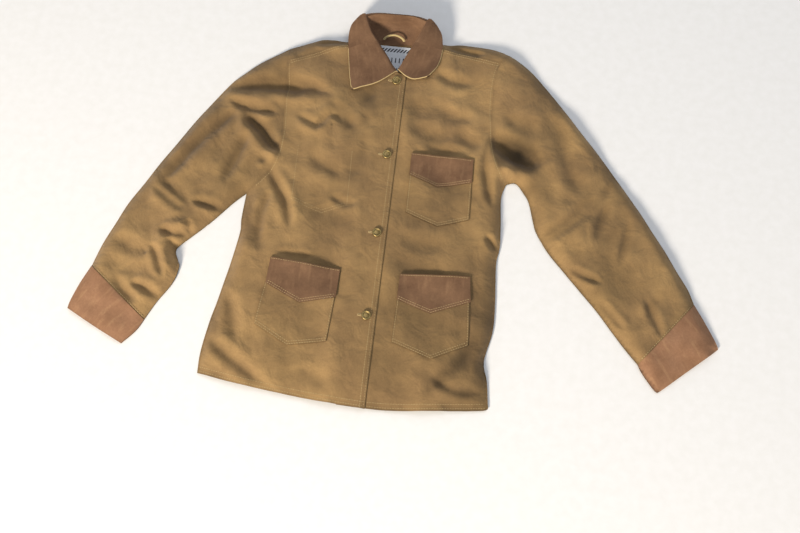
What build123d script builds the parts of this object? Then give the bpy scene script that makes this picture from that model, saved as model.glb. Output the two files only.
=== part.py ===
from build123d import *
import os
from math import atan2, cos, degrees, radians, sin
from types import SimpleNamespace

# A canvas chore coat with a leather collar, leather cuffs and leather bands on its pockets. It lies flat
# on its back, buttoned. Millimetres. It is drawn with its button line on x = 0 and its hem near y = 0,
# and at the end it is moved so that the origin is on the floor under the middle of its box.
# +X is the wearer's left, +Y is towards the collar, +Z is up, out of the coat's front.
# Every piece of cloth is a plain plate of the cloth's thickness, and the coat is hollow between them.

# Materials
CLOTH = 1.6            # canvas with its seam allowances
FACING = 1.2           # the single layer that faces the front edges
LEATHER = 2.0          # collar, cuffs and bands
BAND = 1.4             # the thinner leather along a pocket's mouth
CLEAR = 0.5            # between pieces that move against each other

# Body. A depth is measured down from the neck point, and a half is measured out from the button line.
BODY_LENGTH = 707.0    # neck point to the middle of the hem
BODY_RISE = 20.2       # top of the side and sleeve cloth above the floor
LAP_OVER = 17.0        # the over front's edge, past the button line
LAP_UNDER = 33.0       # the under front's edge, past the button line on the other side
LAP_GAP = 0.6          # between the under front and the facing of the over front
NECK_SAG = 15.0        # how far a front's neck edge hollows below a straight line
BACK_NECK_DEPTH = -9.0
SLEEVE_RISE = 18.0
CUFF_RISE = 14.0

# The wearer's right side is pulled wide and low, and the left side lies straight.
# A station of the sleeve is (length from the last station, its angle out from straight down,
# half width, angle that the cross line climbs): swing pivot, elbow, cuff seam and wrist.
RIGHT = SimpleNamespace(
    name="right", sign=-1, hem=282, hem_rise=26, side=262, underarm=232, underarm_depth=305,
    armhole=203, armhole_depth=207, shoulder=213, shoulder_depth=30, neck=100, neck_depth=0,
    crown=156, crown_depth=-4, seam_drop=34, cap_bulge=26, pivot=(336, 305),
    stations=[(0, 31.3, 85, 31.3), (151, 31.3, 67, 31.3), (123, 17.8, 72, 37.7), (71, 24.0, 60, 25.7)],
    swing=(-8, 30))
LEFT = SimpleNamespace(
    name="left", sign=1, hem=231, hem_rise=26, side=225, underarm=222, underarm_depth=261,
    armhole=189, armhole_depth=147, shoulder=206, shoulder_depth=-10, neck=79, neck_depth=2,
    crown=150, crown_depth=-23, seam_drop=20, cap_bulge=17, pivot=(329, 236),
    stations=[(0, 34.5, 86, 34.5), (167, 34.5, 91, 39.0), (180, 37.1, 77, 50.8), (72, 34.0, 65, 40.9)],
    swing=(-20, 30))

# Buttons: a dished head that turns on a riveted tack
BUTTON_COUNT = 4
BUTTON_PITCH = 155.5
BUTTON_DEPTH = 81.0    # the top button, below the neck point
HEAD_R = 8.5
HEAD_HEIGHT = 3.6
HEAD_DISH = 1.3
TACK_R = 5.0
TACK_HEIGHT = 1.0
NAIL_R = 1.3
SHANK_R = 3.0
PIN_R = 2.0
PIN_HEIGHT = 2.0
RUNNING = 0.05         # radial clearance of a head on its pin
HOLE_ROOM = 1.5        # the opened buttonhole, past the head's edge
SLIT_LENGTH = 6.0      # the closed slit, past the shank

# Patch pockets: (middle, half width, mouth depth, side length, tip below the sides)
POCKET_ROOM = 5.0      # how far a pocket's patch stands off its front
HIP_POCKET = SimpleNamespace(half=64, length=124, tip=28, band=45, band_tip=20)
CHEST_POCKET = SimpleNamespace(half=58, length=115, tip=22, band=43, band_tip=16)
INNER_POCKET = SimpleNamespace(half=53, length=106, tip=18)
HIP_DEPTH = 462.0
CHEST_DEPTH = 228.0
INNER_DEPTH = 233.0
RIGHT_HIP_MIDDLE = -124.0
LEFT_HIP_MIDDLE = 116.0
CHEST_MIDDLE = 104.0
INNER_MIDDLE = -116.0
INNER_ROOM = 4.6

# Facings
FACING_WIDTH = 65.0

# Collar: roll line heights, and widths from the button line. It rolls highest at the back.
ROLL_BACK = 42.0
ROLL_SIDE = 37.0
ROLL_FRONT = 30.0
EDGE_OVER_BODY = 5.3   # the fall's lower edge, above the fronts' cloth
COLLAR_EDGE = BODY_RISE + EDGE_OVER_BODY
STAND_RUN = 40.0       # how far the stand leans back over its height
FALL_RUN = 11.0
RIGHT_ROLL = 80.0
LEFT_ROLL = 50.0
EDGE_BEYOND_NECK = 1.0     # the turn's lower edge, from the neck point
EDGE_BELOW_NECK = 4.0
BACK_EDGE_INSET = 4.0
BACK_EDGE_RISE = 31.0
# Each wing's free edge, from the placket outwards: (x, depth below the neck point). The left tip is curled.
WING_OUTLINE = {
    "right": [(-31.0, 86.0), (-82.0, 108.0), (-92.0, 49.0)],
    "left": [(LAP_OVER + 2.0, 58.0), (LAP_OVER + 2.0, 70.0), (52.0, 73.0), (77.0, 26.0)],
}

# Label and hanger loop, inside the back neck
LABEL_WIDTH = 76.0
LABEL_LENGTH = 55.0
LABEL_MIDDLE = -12.0
LABEL_THICK = 0.8
LOOP_SPAN = 43.0
LOOP_RISE = 13.0
LOOP_TAPE = 5.0
LOOP_THICK = 1.4
LOOP_MIDDLE = -16.0

# Heights that follow from the values above
FLOOR_TOP = CLOTH
UNDER_BOTTOM = BODY_RISE - CLOTH                      # underside of the under front
OVER_FACING = BODY_RISE + LAP_GAP                     # underside of the over front's facing
OVER_BOTTOM = OVER_FACING + FACING
OVER_TOP = OVER_BOTTOM + CLOTH
STACK = POCKET_ROOM + CLOTH + BAND                    # what a pocket adds to its front
RIGHT_FOLD_Z = OVER_TOP + STACK                       # height of the line that each front opens about
LEFT_FOLD_Z = BODY_RISE + STACK
HEAD_BOTTOM = OVER_TOP + CLEAR
ELBOW_Z = SLEEVE_RISE + CLEAR
REACH = 2000.0                                        # larger than the coat

nodes = {}


def level(depth):
    """The y of a depth below the neck point."""
    return BODY_LENGTH - depth


def out(side, half, depth):
    """A point on one side of the coat, from its half width and its depth."""
    return Vector(side.sign * half, level(depth), 0)


def beyond(start, end, gap=0.0):
    """Everything on the left of the line from start to end, beginning a gap away from it."""
    along = (Vector(*end) - Vector(*start)).normalized()
    left = Vector(-along.Y, along.X, 0)
    low = Vector(*start) + left * gap - along * REACH
    high = Vector(*start) + left * gap + along * REACH
    return make_face(Polyline(low, high, high + left * REACH, low + left * REACH, close=True))


def outside(side, start, end, gap=0.0):
    """Everything on a line's outer side, the line running from the hem upwards."""
    return beyond(start, end, gap) if side.sign < 0 else beyond(end, start, gap)


def inside(side, start, end, gap=0.0):
    """Everything on a line's inner side, the line running from the hem upwards."""
    return beyond(end, start, gap) if side.sign < 0 else beyond(start, end, gap)


def plate(face, low, high):
    """A flat face as a solid from one height to another."""
    return Pos(0, 0, low) * extrude(face, high - low, dir=(0, 0, 1))


def rim(face, wall, facing):
    """The band just inside the edges of a face that look one way, for an upright wall there."""
    return face - Pos(*(Vector(*facing).normalized() * -wall)) * face


def rectangle(x_low, x_high, y_low, y_high):
    return make_face(Polyline((x_low, y_low), (x_high, y_low), (x_high, y_high), (x_low, y_high), close=True))


# ---- The plan of the body

def body_plan():
    """The outline of the back, from hem to neck, which the fronts share."""
    edges = [ThreePointArc(out(RIGHT, RIGHT.hem, BODY_LENGTH - RIGHT.hem_rise), (0, 0),
                           out(LEFT, LEFT.hem, BODY_LENGTH - LEFT.hem_rise))]
    for side in (LEFT, RIGHT):
        hem = out(side, side.hem, BODY_LENGTH - side.hem_rise)
        underarm = out(side, side.underarm, side.underarm_depth)
        middle = out(side, side.side, (BODY_LENGTH + side.underarm_depth) / 2)
        shoulder = out(side, side.shoulder, side.shoulder_depth)
        edges.append(ThreePointArc(hem, middle, underarm))
        edges.append(ThreePointArc(underarm, out(side, side.armhole, side.armhole_depth), shoulder))
        edges.append(ThreePointArc(shoulder, out(side, side.crown, side.crown_depth),
                                   out(side, side.neck, side.neck_depth - 6)))
    back_neck = Vector((LEFT.neck - RIGHT.neck) / 2, level(BACK_NECK_DEPTH), 0)
    edges.append(ThreePointArc(out(LEFT, LEFT.neck, LEFT.neck_depth - 6), back_neck,
                               out(RIGHT, RIGHT.neck, RIGHT.neck_depth - 6)))
    return make_face(edges)


BODY = body_plan()


def fold_line(side):
    """Where a front turns back: from the side of the hem up to the neck point."""
    return (out(side, side.hem - 2, BODY_LENGTH - side.hem_rise), out(side, side.neck, side.neck_depth))


def shoulder_seam(side):
    """The seam in front of the shoulder, from the armhole in to the neck point."""
    return (out(side, side.shoulder, side.shoulder_depth + side.seam_drop), out(side, side.neck, side.neck_depth + 8))


def below_seam(side, gap=0.0):
    outer, inner = shoulder_seam(side)
    return beyond(inner, outer, gap) if side.sign < 0 else beyond(outer, inner, gap)


def above_seam(side):
    outer, inner = shoulder_seam(side)
    return beyond(outer, inner) if side.sign < 0 else beyond(inner, outer)


def neck_edge(side, edge_x):
    """A front's neck edge, from the neck point to the top of its front edge at edge_x."""
    start = out(side, side.neck, side.neck_depth)
    end = Vector(edge_x, level(BUTTON_DEPTH) + 15, 0)
    across = (end - start).normalized()
    down = Vector(across.Y, -across.X, 0) if side.sign < 0 else Vector(-across.Y, across.X, 0)
    middle = (start + end) * 0.5 + down * NECK_SAG
    above = Vector(edge_x, level(0) + 200, 0)
    return make_face([ThreePointArc(start, middle, end), Line(end, above),
                      Line(above, start + Vector(0, 200, 0)), Line(start + Vector(0, 200, 0), start)])


# ---- Sleeves

def station(side, count):
    """(inner end, middle, outer end) of one of the sleeve's cross lines."""
    centre = out(side, *side.pivot)
    for length, angle, half, climb in side.stations[:count + 1]:
        a = radians(angle)
        centre = centre + Vector(side.sign * sin(a), -cos(a), 0) * length
    c = radians(climb)
    across = Vector(side.sign * cos(c), sin(c), 0) * half
    return centre - across, centre, centre + across


def tube_plan(side, first, last, inset=0.0, start_over=0.0, end_over=0.0):
    """The plan of the sleeve between two stations. An inset narrows it, and an over lengthens it."""
    in_a, mid_a, out_a = station(side, first)
    in_b, mid_b, out_b = station(side, last)
    narrow_a = (mid_a - in_a).normalized() * inset
    narrow_b = (mid_b - in_b).normalized() * inset
    along = (mid_b - mid_a).normalized()
    back, forth = along * start_over, along * end_over
    return make_face(Polyline(in_a + narrow_a - back, in_b + narrow_b + forth,
                              out_b - narrow_b + forth, out_a - narrow_a - back, close=True))


def swing_disc(side, extra=0.0):
    """The round top end of the swinging sleeve, about its pivot."""
    return Pos(*station(side, 0)[1]) * Circle(side.stations[0][2] + extra)


def swept_strip(side, angle):
    """The swinging sleeve's plan, widened by the clearance and turned about its pivot."""
    pivot = Vector(*station(side, 0)[1])
    turn = Pos(*pivot) * Rot(0, 0, side.sign * angle) * Pos(*(pivot * -1))
    return turn * tube_plan(side, 0, 1, inset=-CLEAR, end_over=60)


def cap_plan(side):
    """The still part of the sleeve, from the armhole to the swinging part."""
    inner, pivot, outer = station(side, 0)
    underarm = out(side, side.underarm, side.underarm_depth)
    shoulder = out(side, side.shoulder, side.shoulder_depth)
    across = (outer - shoulder).normalized()
    bulge = Vector(across.Y, -across.X, 0) * (side.cap_bulge if side.sign < 0 else -side.cap_bulge)
    whole = make_face([ThreePointArc(underarm, out(side, side.armhole, side.armhole_depth), shoulder),
                       ThreePointArc(shoulder, (shoulder + outer) * 0.5 + bulge, outer),
                       Line(outer, inner), Line(inner, underarm)])
    return whole - swing_disc(side, CLEAR) - swept_strip(side, side.swing[0]) - swept_strip(side, side.swing[1])


def make_sleeve(side):
    cap = cap_plan(side)
    inner, middle, outer = station(side, 0)
    room = swing_disc(side, CLOTH * 1.5 + CLEAR) + swept_strip(side, 0)
    wall = (rim(cap, CLOTH, outer - inner) + rim(cap, CLOTH, inner - outer)) - room - BODY
    for edge in (CLOTH, 2 * CLOTH):
        wall = wall - Pos(side.sign * edge, 0) * BODY
    top = plate(cap, BODY_RISE - CLOTH, BODY_RISE)
    nodes[f"{side.name}_sleeve_cap"] = top + plate(wall, FLOOR_TOP, BODY_RISE - CLOTH)
    nodes[f"{side.name}_sleeve_cap_under"] = plate(cap, 0, FLOOR_TOP)

    upper = tube_plan(side, 0, 1) + swing_disc(side)
    upper_room = tube_plan(side, 0, 1, inset=CLOTH, start_over=side.stations[0][2] + 10, end_over=10)
    lower = tube_plan(side, 1, 2) - tube_plan(side, 0, 1, inset=-20, end_over=CLEAR)
    lower_room = tube_plan(side, 1, 2, inset=CLOTH, start_over=10, end_over=10)
    for part, plan, room in (("upper", upper, upper_room), ("lower", lower, lower_room)):
        shell = plate(plan, FLOOR_TOP, SLEEVE_RISE) - plate(room, FLOOR_TOP, SLEEVE_RISE - CLOTH)
        nodes[f"{side.name}_{part}_sleeve"] = shell
        nodes[f"{side.name}_{part}_sleeve_under"] = plate(plan, 0, FLOOR_TOP)

    cuff = tube_plan(side, 2, 3) - tube_plan(side, 1, 2, inset=-20, end_over=CLEAR)
    cuff_room = tube_plan(side, 2, 3, inset=LEATHER, start_over=20, end_over=20)
    nodes[f"{side.name}_cuff"] = plate(cuff, 0, CUFF_RISE) - plate(cuff_room, LEATHER, CUFF_RISE - LEATHER)


# ---- Body panels

def make_back():
    nodes["back_panel"] = plate(BODY, 0, FLOOR_TOP)
    label = rectangle(LABEL_MIDDLE - LABEL_WIDTH / 2, LABEL_MIDDLE + LABEL_WIDTH / 2,
                      level(BACK_NECK_DEPTH) - 6 - LABEL_LENGTH, level(BACK_NECK_DEPTH) - 6)
    nodes["label"] = plate(label, FLOOR_TOP, FLOOR_TOP + LABEL_THICK)


def make_side_front(side):
    """The part of a front between its fold line and the side, which stays when the front is turned back."""
    hem, neck = fold_line(side)
    panel = BODY & outside(side, hem, neck, CLEAR) & below_seam(side)
    side_band = rectangle(-REACH, REACH, level(BODY_LENGTH - side.hem_rise) + 2 * CLOTH, level(side.underarm_depth))
    wall = rim(BODY, CLOTH, (side.sign, 0, 0)) & outside(side, hem, neck, CLEAR) & side_band
    top = plate(panel, UNDER_BOTTOM, BODY_RISE)
    nodes[f"{side.name}_side_front"] = top + plate(wall, FLOOR_TOP, UNDER_BOTTOM)

    shoulder_band = rectangle(*sorted((side.sign * (side.neck + 2 * CLOTH), side.sign * (side.shoulder - 2 * CLOTH))),
                              level(side.shoulder_depth + side.seam_drop), REACH)
    turn = BODY & above_seam(side) & outside(side, out(side, side.neck, 0), out(side, side.neck, -50))
    crown = rim(BODY, CLOTH, (0, 1, 0)) & above_seam(side) & shoulder_band
    nodes[f"{side.name}_shoulder"] = plate(turn, UNDER_BOTTOM, BODY_RISE) + plate(crown, FLOOR_TOP, UNDER_BOTTOM)


def button_places():
    return [(0, level(BUTTON_DEPTH + k * BUTTON_PITCH)) for k in range(BUTTON_COUNT)]


def front_plan(side, edge_x):
    """A front from its fold line to its front edge."""
    hem, neck = fold_line(side)
    front = BODY & inside(side, hem, neck, CLEAR)
    reach = rectangle(-REACH, edge_x, -REACH, REACH) if side.sign < 0 else rectangle(edge_x, REACH, -REACH, REACH)
    return (front & reach & below_seam(side, CLEAR)) - neck_edge(side, edge_x)


def make_fronts():
    over = front_plan(RIGHT, LAP_OVER)
    under = front_plan(LEFT, -LAP_UNDER)
    over_facing = over & rectangle(LAP_OVER - FACING_WIDTH, LAP_OVER, -REACH, REACH)
    under_facing = under & rectangle(-LAP_UNDER, FACING_WIDTH - LAP_UNDER, -REACH, REACH)
    hole_r = HEAD_R + HOLE_ROOM
    for place in button_places():
        over = over - Pos(*place) * Circle(hole_r)
        over_facing = over_facing - Pos(*place) * Circle(hole_r)
        under = under - Pos(*place) * Circle(NAIL_R)
        under_facing = under_facing - Pos(*place) * Circle(NAIL_R)
    nodes["right_front"] = plate(over, OVER_BOTTOM, OVER_TOP)
    nodes["right_facing"] = plate(over_facing, OVER_FACING, OVER_BOTTOM)
    nodes["left_front"] = plate(under, UNDER_BOTTOM, BODY_RISE)
    nodes["left_facing"] = plate(under_facing, UNDER_BOTTOM - FACING, UNDER_BOTTOM)
    slit = rectangle(-SHANK_R - SLIT_LENGTH, 0, -SHANK_R - CLEAR, SHANK_R + CLEAR) + Circle(SHANK_R + CLEAR)
    for k, place in enumerate(button_places()):
        welt = Pos(*place) * (Circle(hole_r) - slit)
        nodes[f"buttonhole_{k + 1}"] = plate(welt, OVER_FACING, OVER_TOP)


# ---- Pockets

def pocket_plan(pocket, middle, depth, length, tip, inset=0.0, over=0.0):
    """A patch with a pointed lower edge. An inset narrows it, and an over lengthens it past its mouth."""
    y = level(depth)
    half = pocket.half - inset
    return make_face(Polyline((middle - half, y + over), (middle - half, y - length + inset),
                              (middle, y - length - tip + 1.1 * inset), (middle + half, y - length + inset),
                              (middle + half, y + over), close=True))


def make_pocket(name, pocket, middle, depth, base, side):
    """A patch that stands off its front on its own turned edges, and the leather band along its mouth."""
    hem, neck = fold_line(side)
    keep = inside(side, hem, neck, 2 * CLEAR)
    patch = pocket_plan(pocket, middle, depth, pocket.length, pocket.tip) & keep
    room = pocket_plan(pocket, middle, depth, pocket.length, pocket.tip, inset=CLOTH, over=5)
    room = room & inside(side, hem, neck, 2 * CLEAR + CLOTH)
    top = base + POCKET_ROOM + CLOTH
    nodes[name] = plate(patch, base, top) - plate(room, base, base + POCKET_ROOM)
    band = pocket_plan(pocket, middle, depth, pocket.band, pocket.band_tip) & keep
    nodes[f"{name}_band"] = plate(band, top, top + BAND)


def make_pockets():
    make_pocket("right_hip_pocket", HIP_POCKET, RIGHT_HIP_MIDDLE, HIP_DEPTH, OVER_TOP, RIGHT)
    make_pocket("left_hip_pocket", HIP_POCKET, LEFT_HIP_MIDDLE, HIP_DEPTH, BODY_RISE, LEFT)
    make_pocket("chest_pocket", CHEST_POCKET, CHEST_MIDDLE, CHEST_DEPTH, BODY_RISE, LEFT)
    # The inner pocket hangs on the inside of the over front, with its mouth towards the collar.
    inner = pocket_plan(INNER_POCKET, INNER_MIDDLE, INNER_DEPTH, INNER_POCKET.length, INNER_POCKET.tip)
    room = pocket_plan(INNER_POCKET, INNER_MIDDLE, INNER_DEPTH, INNER_POCKET.length, INNER_POCKET.tip,
                       inset=CLOTH, over=5)
    keep = inside(RIGHT, *fold_line(RIGHT), 2 * CLEAR)
    room = room & inside(RIGHT, *fold_line(RIGHT), 2 * CLEAR + CLOTH)
    bottom = OVER_BOTTOM - INNER_ROOM - FACING
    nodes["inner_chest_pocket"] = plate(inner & keep, bottom, OVER_BOTTOM) - plate(room, bottom + FACING, OVER_BOTTOM)


# ---- Buttons

def make_buttons():
    tack_low = UNDER_BOTTOM - FACING - TACK_HEIGHT
    pin_top = HEAD_BOTTOM + PIN_HEIGHT
    for k, (x, y) in enumerate(button_places()):
        tack = Cylinder(TACK_R, TACK_HEIGHT, align=(Align.CENTER, Align.CENTER, Align.MIN))
        nail = Cylinder(NAIL_R, BODY_RISE - tack_low, align=(Align.CENTER, Align.CENTER, Align.MIN))
        shank = Cylinder(SHANK_R, HEAD_BOTTOM - CLEAR / 2 - BODY_RISE, align=(Align.CENTER, Align.CENTER, Align.MIN))
        pin = Cylinder(PIN_R, pin_top - BODY_RISE, align=(Align.CENTER, Align.CENTER, Align.MIN))
        post = Pos(0, 0, tack_low) * (tack + nail) + Pos(0, 0, BODY_RISE) * (shank + pin)
        nodes[f"button_tack_{k + 1}"] = Pos(x, y, 0) * post

        bore = PIN_HEIGHT + 0.2
        profile = make_face(Polyline(
            (PIN_R + RUNNING, 0), (HEAD_R - 1.0, 0), (HEAD_R, 1.0), (HEAD_R, HEAD_HEIGHT - 0.8),
            (HEAD_R - 0.8, HEAD_HEIGHT), (HEAD_R - 2.0, HEAD_HEIGHT), (HEAD_R - 3.6, HEAD_HEIGHT - HEAD_DISH),
            (0, HEAD_HEIGHT - HEAD_DISH), (0, bore), (PIN_R + RUNNING, bore), close=True))
        head = revolve(Plane.XZ * profile, Axis.Z)
        nodes[f"button_head_{k + 1}"] = Pos(x, y, HEAD_BOTTOM) * head


# ---- Collar, label and loop

def leaning_plate(plan, corners, thickness):
    """A plate on the plane through three corners, with the plan as its outline seen from above."""
    a, b, c = (Vector(*p) for p in corners)
    normal = (b - a).cross(c - a).normalized()
    if normal.Z < 0:
        normal = normal * -1
    points = [Vector(x, y, a.Z - (normal.X * (x - a.X) + normal.Y * (y - a.Y)) / normal.Z) for x, y in plan]
    return extrude(make_face(Polyline(*points, close=True)), thickness, dir=normal)


def roll_points(side):
    """The roll line at the back corner, the side of the neck and the front, and the neck point."""
    half = RIGHT_ROLL if side.sign < 0 else LEFT_ROLL
    back = Vector(side.sign * half, level(BACK_NECK_DEPTH) + STAND_RUN, ROLL_BACK)
    turn = Vector(side.sign * (half - 18), level(-13), ROLL_SIDE)
    front = Vector(side.sign * 4, level(BUTTON_DEPTH) + (22 if side.sign < 0 else 29), ROLL_FRONT)
    return back, turn, front


def make_collar():
    low = Vector(0, level(BACK_NECK_DEPTH) + CLEAR, FLOOR_TOP)
    high = low + Vector(0, STAND_RUN, ROLL_BACK - FLOOR_TOP)
    lean = (high - low).normalized()
    thick = Vector(0, lean.Z, -lean.Y) * LEATHER
    stand = make_face(Polyline(low, high, high + thick, low + thick, close=True))
    width = RIGHT_ROLL + LEFT_ROLL - 2 * CLEAR
    nodes["collar_stand"] = Pos(-RIGHT_ROLL + CLEAR, 0, 0) * extrude(stand, width, dir=(1, 0, 0))
    # The fall's back part drops from the roll to the floor behind the stand.
    top = high + thick + Vector(0, CLEAR, 0)
    foot = Vector(0, top.Y + FALL_RUN, 0)
    slant = (top - foot).normalized()
    across = Vector(0, slant.Z, -slant.Y) * LEATHER
    fall = make_face(Polyline(top, foot, foot + Vector(0, LEATHER / slant.Z, 0), top + across, close=True))
    nodes["collar_back_fall"] = Pos(-RIGHT_ROLL + CLEAR, 0, 0) * extrude(fall, width, dir=(1, 0, 0))

    for side in (RIGHT, LEFT):
        s = side.sign
        back, turn, front = roll_points(side)
        edge = Vector(s * (side.neck + EDGE_BEYOND_NECK), level(side.neck_depth + EDGE_BELOW_NECK), COLLAR_EDGE)
        behind = Vector(s * (side.neck - BACK_EDGE_INSET), level(-BACK_EDGE_RISE), COLLAR_EDGE)
        gap = 4 * CLEAR
        plan = [(back.X + s * CLEAR, back.Y), (turn.X, turn.Y + gap), (edge.X, edge.Y + 3 * gap),
                (behind.X, behind.Y)]
        nodes[f"{side.name}_collar_turn"] = leaning_plate(plan, (back, turn, edge), 2 * LEATHER)
        outline = [(x, level(below)) for x, below in WING_OUTLINE[side.name]]
        wing = [(turn.X, turn.Y), (front.X, front.Y), *outline, (edge.X - s * gap, edge.Y)]
        tip = Vector(*wing[-3], COLLAR_EDGE)
        nodes[f"{side.name}_collar_wing"] = leaning_plate(wing, (turn, front, tip), 2 * LEATHER)

    # The loop is a bent tape that leans on the stand, sewn into the neck seam at both ends.
    outer, inner = LOOP_SPAN / 2, LOOP_SPAN / 2 - LOOP_TAPE
    rise = LOOP_RISE - LOOP_TAPE
    tape = make_face([ThreePointArc((-outer, 0), (0, LOOP_RISE), (outer, 0)), Line((outer, 0), (inner, 0)),
                      ThreePointArc((inner, 0), (0, rise), (-inner, 0)), Line((-inner, 0), (-outer, 0))])
    angle = degrees(atan2(lean.Z, lean.Y))
    foot = loop_pivot()
    nodes["hanger_loop"] = Pos(*foot) * Rot(angle, 0, 0) * extrude(tape, LOOP_THICK, dir=(0, 0, 1))


def loop_pivot():
    """The neck seam under the loop, clear of the stand's face."""
    lean = Vector(0, STAND_RUN, ROLL_BACK - FLOOR_TOP).normalized()
    face = Vector(0, -lean.Z, lean.Y)
    return Vector(LOOP_MIDDLE, level(BACK_NECK_DEPTH) + CLEAR, FLOOR_TOP) + lean * 6 + face * CLEAR


def all_solids():
    make_back()
    for side in (RIGHT, LEFT):
        make_side_front(side)
        make_sleeve(side)
    make_fronts()
    make_pockets()
    make_buttons()
    make_collar()


all_solids()
box = Compound([Compound(part.solids()) for part in nodes.values()]).bounding_box()
SHIFT = Vector(-(box.min.X + box.max.X) / 2, -(box.min.Y + box.max.Y) / 2, 0)

os.makedirs("parts", exist_ok=True)
for name, part in nodes.items():
    solids = part.solids()
    shape = solids[0] if len(solids) == 1 else Compound(solids)
    export_step(Pos(*SHIFT) * shape, f"parts/{name}.step")
print(len(nodes), "nodes, origin moved by", SHIFT, "size", box.size)
print("axis heights: fronts", RIGHT_FOLD_Z, LEFT_FOLD_Z, "elbows", ELBOW_Z)
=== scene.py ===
import math
import bpy
import numpy as np
from mathutils import Matrix, Vector
from mathutils.geometry import delaunay_2d_cdt


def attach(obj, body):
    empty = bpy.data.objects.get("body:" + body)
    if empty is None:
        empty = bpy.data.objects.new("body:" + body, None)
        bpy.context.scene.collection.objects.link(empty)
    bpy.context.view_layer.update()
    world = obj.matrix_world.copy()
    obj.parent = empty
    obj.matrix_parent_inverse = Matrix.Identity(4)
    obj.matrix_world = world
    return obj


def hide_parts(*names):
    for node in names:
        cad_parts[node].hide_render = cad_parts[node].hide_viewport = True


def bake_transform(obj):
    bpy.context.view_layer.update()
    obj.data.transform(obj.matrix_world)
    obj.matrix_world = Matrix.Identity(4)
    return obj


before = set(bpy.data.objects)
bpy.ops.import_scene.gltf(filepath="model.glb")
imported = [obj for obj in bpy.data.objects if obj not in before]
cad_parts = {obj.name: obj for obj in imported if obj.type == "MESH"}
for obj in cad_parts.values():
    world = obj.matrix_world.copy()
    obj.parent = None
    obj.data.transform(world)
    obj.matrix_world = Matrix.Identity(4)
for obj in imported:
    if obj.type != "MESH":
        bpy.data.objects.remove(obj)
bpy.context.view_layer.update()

# ---- Right front, the over front ----
# A worn cotton duck panel from the side seam and armhole to the placket edge, lying on the under front.
# Its outline is drawn in mm from the foot of the placket, filled with triangles and lifted to the height
# at which the coat lies, with its drag folds.


def row(p):
    """Drawing points in mm, (x, y, z), as points of the row frame in metres."""
    return (np.atleast_2d(np.array(p, float)) + (-43.2844, -385.618, 0.0)) / 1000


def curve(points, step=5.0):
    """A smooth line through a few points, cut into equal steps."""
    p = np.array(points, float)
    q = np.vstack([2 * p[0] - p[1], p, 2 * p[-1] - p[-2]])
    fine = []
    for a, b, c, d in zip(q[:-3], q[1:-2], q[2:-1], q[3:]):
        t = np.linspace(0, 1, 24, endpoint=False)[:, None]
        square, cube = 2 * a - 5 * b + 4 * c - d, 3 * b - a - 3 * c + d
        fine.append(0.5 * (2 * b + (c - a) * t + square * t**2 + cube * t**3))
    fine = np.vstack(fine + [p[-1:]])
    run = np.concatenate([[0], np.cumsum(np.linalg.norm(np.diff(fine, axis=0), axis=1))])
    at = np.linspace(0, run[-1], max(2, int(round(run[-1] / step)) + 1))
    return np.stack([np.interp(at, run, fine[:, k]) for k in range(p.shape[1])], axis=1)


def reach(p, line):
    """Distance from each point to a line, its side (+1 on the left), and its share of the way along."""
    length = np.linalg.norm(np.diff(line, axis=0), axis=1)
    start = np.concatenate([[0], np.cumsum(length)])
    best, side, along = np.full(len(p), 1e9), np.zeros(len(p)), np.zeros(len(p))
    for k in range(len(length)):
        d = (line[k + 1] - line[k]) / length[k]
        v = p - line[k]
        t = np.clip(v @ d, 0, length[k])
        away = np.hypot(v[:, 0] - t * d[0], v[:, 1] - t * d[1])
        near = away < best
        best[near] = away[near]
        side[near] = np.sign(d[0] * v[near, 1] - d[1] * v[near, 0])
        along[near] = (start[k] + t[near]) / start[-1]
    return best, side, along


def smooth(t):
    t = np.clip(t, 0, 1)
    return t * t * (3 - 2 * t)


# Where the coat's outline meets the floor, and the open ends, which lie flatter.
SIDE_R = [(-283, 28), (-284, 65), (-278, 120), (-271, 158), (-265, 196), (-259, 234), (-252, 293),
          (-254, 322), (-253, 372)]
SIDE_L = [(229, 23), (223, 70), (215, 105), (226, 160), (226, 214), (222, 285), (226, 318), (224, 367),
          (221, 416), (228, 444)]
INNER_R = [(-253, 372), (-275, 349), (-310, 306), (-350, 264), (-363, 247), (-355, 227), (-351, 216),
           (-357, 185), (-379, 146), (-395, 112)]
INNER_L = [(228, 444), (246, 448), (262, 430), (273, 412), (284, 373), (291, 354), (314, 319), (346, 284),
           (378, 250), (409, 217), (436, 184), (464, 151), (484, 130)]
OUTER_R = [(-217, 684), (-234, 672), (-271, 645), (-296, 620), (-320, 594), (-350, 547), (-377, 502),
           (-401, 457), (-425, 413), (-446, 370), (-468, 327), (-483, 286), (-498, 245), (-509, 200)]
OUTER_L = [(214, 717), (236, 704), (263, 682), (297, 645), (332, 604), (363, 565), (395, 527), (424, 489),
           (452, 452), (479, 415), (503, 379), (528, 343), (550, 307), (570, 276), (581, 250)]
CUFF_OUTER_R = [(-509, 200), (-523, 166), (-533, 132), (-535, 117)]
CUFF_OUTER_L = [(581, 250), (601, 218), (623, 178), (620, 169)]
CUFF_INNER_R = [(-395, 112), (-402, 96), (-411, 83), (-427, 65)]
CUFF_INNER_L = [(484, 130), (493, 114), (516, 86), (524, 87)]
SHOULDER_R = [(-84, 722), (-104, 712), (-132, 713), (-156, 711), (-180, 701), (-217, 684)]
SHOULDER_L = [(70, 728), (95, 727), (114, 730), (134, 730), (173, 728), (194, 724), (214, 717)]
HEM_R = [(-283, 28), (-228, 19), (-159, 11), (-74, 3), (17, -2)]
HEM_L = [(-33, 0), (17, -1), (73, 1), (146, 9), (217, 18), (229, 23)]
WRIST_R = [(-535, 117), (-481, 90), (-427, 65)]
WRIST_L = [(620, 169), (573, 129), (524, 87)]
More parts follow.
